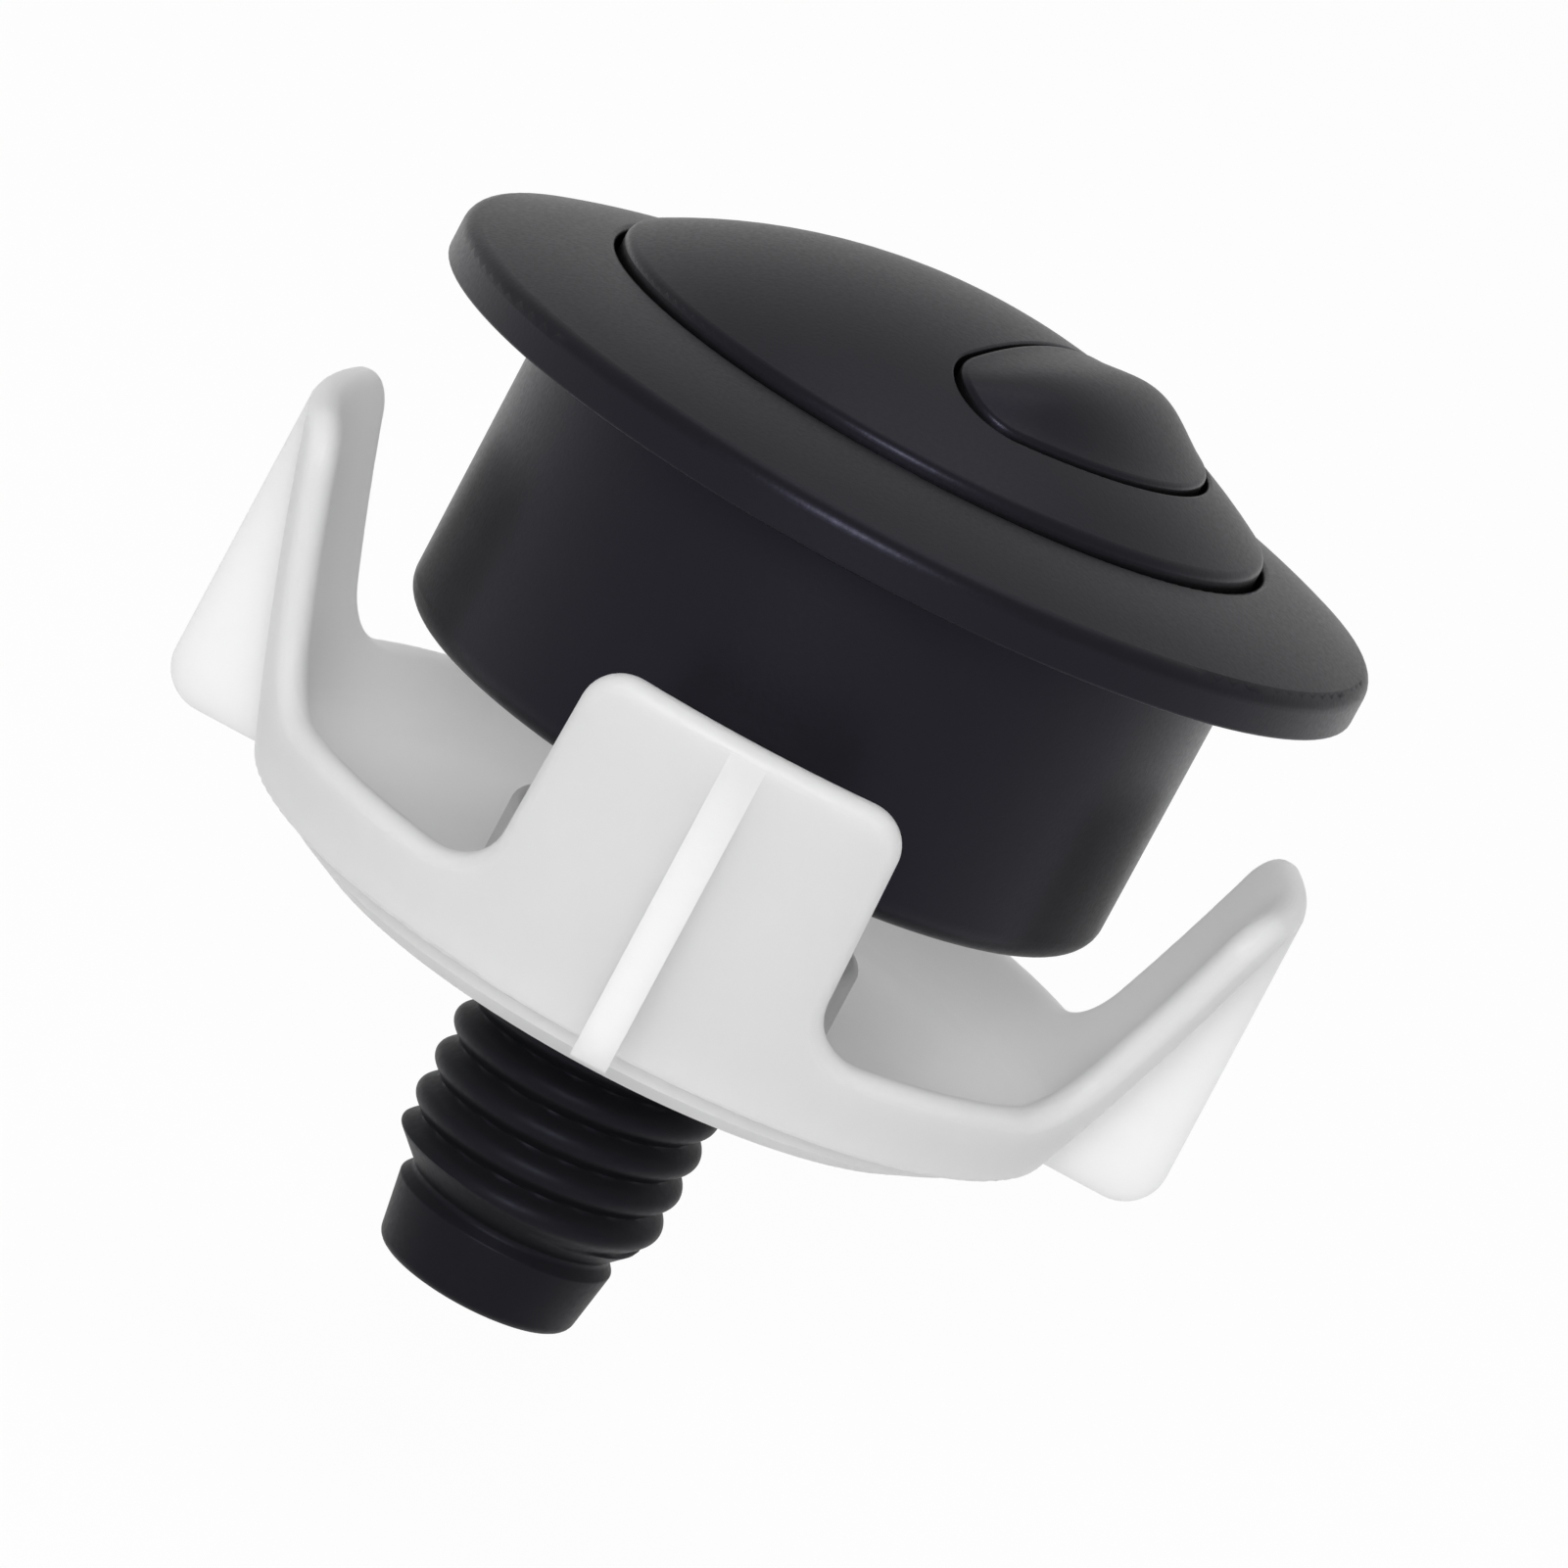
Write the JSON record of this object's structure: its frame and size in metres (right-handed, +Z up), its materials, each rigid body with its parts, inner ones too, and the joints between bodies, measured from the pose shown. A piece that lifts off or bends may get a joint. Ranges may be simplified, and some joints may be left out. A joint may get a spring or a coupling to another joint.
{
  "type": "dual flush push button",
  "caption": "Round dual-flush push button for a cistern lid: domed button with an inset half-flush cap, bezel, clamping wing nut and threaded tail.",
  "frame": {"origin": "centre of the flange's underside, the plane that seats on the cistern lid", "axes": "+Z up, opposite to the way the buttons are pressed; +X to the right in the picture; the picture is taken from -Y"},
  "size_m": [0.0834, 0.0834, 0.0845],
  "materials": {
    "satin_black_plastic": "satin black lacquer on ABS",
    "black_stem_plastic": "moulded black, satin",
    "white_plastic": "moulded white, satin",
    "inner_plastic": "moulded natural white",
    "spring_steel": "drawn stainless wire",
    "screw_steel": "stainless"
  },
  "bodies": {
    "housing": {"bezel_housing": "satin_black_plastic", "threaded_stem": "black_stem_plastic", "stem_screws": "screw_steel", "plunger_guide": "inner_plastic", "full_return_spring": "spring_steel"},
    "full_flush": {"full_flush_button": "satin_black_plastic", "full_flush_carrier": "inner_plastic", "full_plunger": "inner_plastic", "full_plunger_screw": "screw_steel", "half_return_spring": "spring_steel"},
    "half_flush": {"half_flush_button": "satin_black_plastic", "half_flush_carrier": "inner_plastic", "half_plunger": "inner_plastic", "half_plunger_screw": "screw_steel"},
    "nut": {"wing_nut": "white_plastic"}
  },
  "joints": [
    {"name": "full_flush_press", "type": "slide", "parent": "housing", "child": "full_flush", "axis": [0, 0, -1], "range_m": [0, 0.006], "stiffness_N_per_m": 500, "springref_m": -0.004, "deforming": ["full_return_spring"]},
    {"name": "half_flush_press", "type": "slide", "parent": "full_flush", "child": "half_flush", "axis": [0, 0, -1], "range_m": [0, 0.006], "stiffness_N_per_m": 300, "springref_m": -0.004, "deforming": ["half_return_spring"]},
    {"name": "nut_travel", "type": "slide", "parent": "housing", "child": "nut", "axis": [0, 0, 1], "range_m": [-0.036, 0.0085]}
  ]
}
